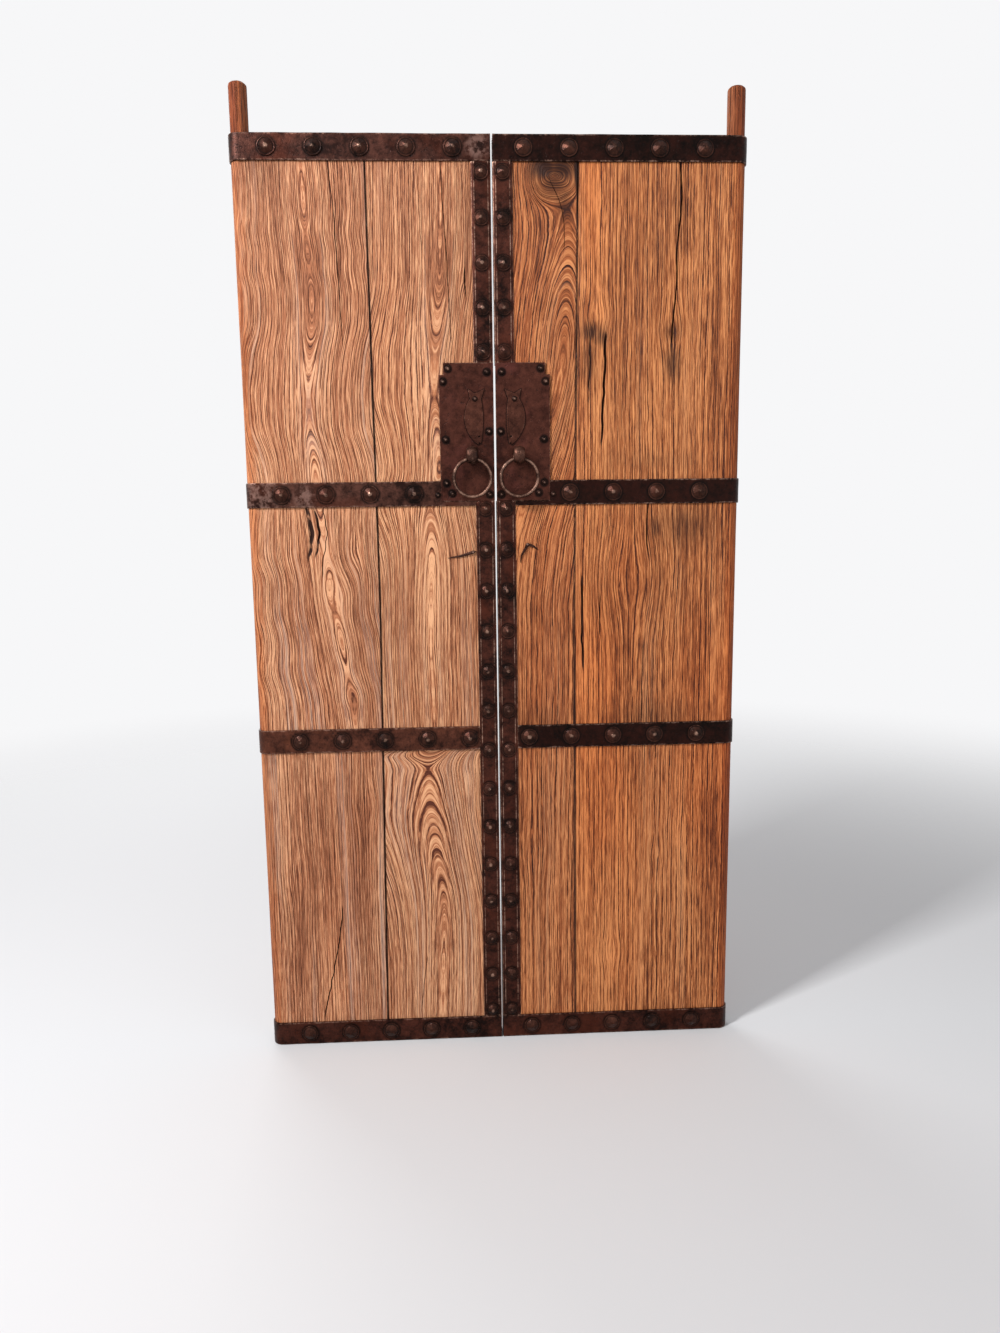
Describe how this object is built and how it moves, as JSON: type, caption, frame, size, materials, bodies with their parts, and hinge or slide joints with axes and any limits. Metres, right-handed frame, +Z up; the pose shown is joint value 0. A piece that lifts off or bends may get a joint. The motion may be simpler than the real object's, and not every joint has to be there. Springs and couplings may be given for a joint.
{
  "type": "iron-bound plank door pair",
  "caption": "Pair of plank door leaves with wrapped iron straps, nailed edges, lock plates, swinging keyhole covers and ring pulls, turning on round wooden pivot posts.",
  "frame": {"origin": "on the floor below the seam between the leaves, midway through the planks' thickness", "axes": "+Z up along the leaves, +X to the right as seen from the side with the ring pulls, +Y through the doorway away from that side"},
  "size_m": [1.047, 0.1219, 2.034],
  "materials": {
    "left_leaf_wood": "weathered, dry, open grain",
    "right_leaf_wood": "weathered, dry, open grain",
    "batten_wood": "rough sawn, dry",
    "strap_iron": "forged, waxed brown-black",
    "plate_iron": "forged, waxed brown-black",
    "nail_iron": "forged, worn bright on the crowns",
    "ring_iron": "forged, polished by use"
  },
  "bodies": {
    "left_leaf": {"left_bar_staple": "ring_iron", "left_batten_lower": "batten_wood", "left_batten_middle": "batten_wood", "left_batten_upper": "batten_wood", "left_cover_rivet": "nail_iron", "left_edge_strap_lower": "strap_iron", "left_edge_strap_upper": "strap_iron", "left_inner_plank": "left_leaf_wood", "left_lock_plate": "plate_iron", "left_nails_bottom": "nail_iron", "left_nails_edge": "nail_iron", "left_nails_middle": "nail_iron", "left_nails_third": "nail_iron", "left_nails_top": "nail_iron", "left_outer_plank": "left_leaf_wood", "left_plate_studs": "nail_iron", "left_ring_eye": "ring_iron", "left_strap_bottom": "strap_iron", "left_strap_middle": "strap_iron", "left_strap_third": "strap_iron", "left_strap_top": "strap_iron"},
    "right_leaf": {"right_bar_staple": "ring_iron", "right_batten_lower": "batten_wood", "right_batten_middle": "batten_wood", "right_batten_upper": "batten_wood", "right_cover_rivet": "nail_iron", "right_edge_strap_lower": "strap_iron", "right_edge_strap_upper": "strap_iron", "right_inner_plank": "right_leaf_wood", "right_lock_plate": "plate_iron", "right_nails_bottom": "nail_iron", "right_nails_edge": "nail_iron", "right_nails_middle": "nail_iron", "right_nails_third": "nail_iron", "right_nails_top": "nail_iron", "right_outer_plank": "right_leaf_wood", "right_plate_studs": "nail_iron", "right_ring_eye": "ring_iron", "right_strap_bottom": "strap_iron", "right_strap_middle": "strap_iron", "right_strap_third": "strap_iron", "right_strap_top": "strap_iron"},
    "left_ring": {"left_ring_pull": "ring_iron"},
    "right_ring": {"right_ring_pull": "ring_iron"},
    "left_cover": {"left_fish_cover": "plate_iron"},
    "right_cover": {"right_fish_cover": "plate_iron"}
  },
  "joints": [
    {"name": "right_leaf_hinge", "type": "hinge", "parent": "left_leaf", "child": "right_leaf", "pos_m": [0.5005, 0, 0], "axis": [0, 0, -1], "range_deg": [0, 100]},
    {"name": "left_ring_hinge", "type": "hinge", "parent": "left_leaf", "child": "left_ring", "pos_m": [-0.049, -0.04215, 1.2999], "axis": [-1, 0, 0], "range_deg": [-8, 170]},
    {"name": "left_cover_pivot", "type": "hinge", "parent": "left_leaf", "child": "left_cover", "pos_m": [-0.041, -0.0255, 1.422], "axis": [0, 1, 0], "range_deg": [-5, 75]},
    {"name": "right_ring_hinge", "type": "hinge", "parent": "right_leaf", "child": "right_ring", "pos_m": [0.049, -0.04215, 1.2999], "axis": [-1, 0, 0], "range_deg": [-8, 170]},
    {"name": "right_cover_pivot", "type": "hinge", "parent": "right_leaf", "child": "right_cover", "pos_m": [0.041, -0.0255, 1.422], "axis": [0, -1, 0], "range_deg": [-5, 75]}
  ]
}
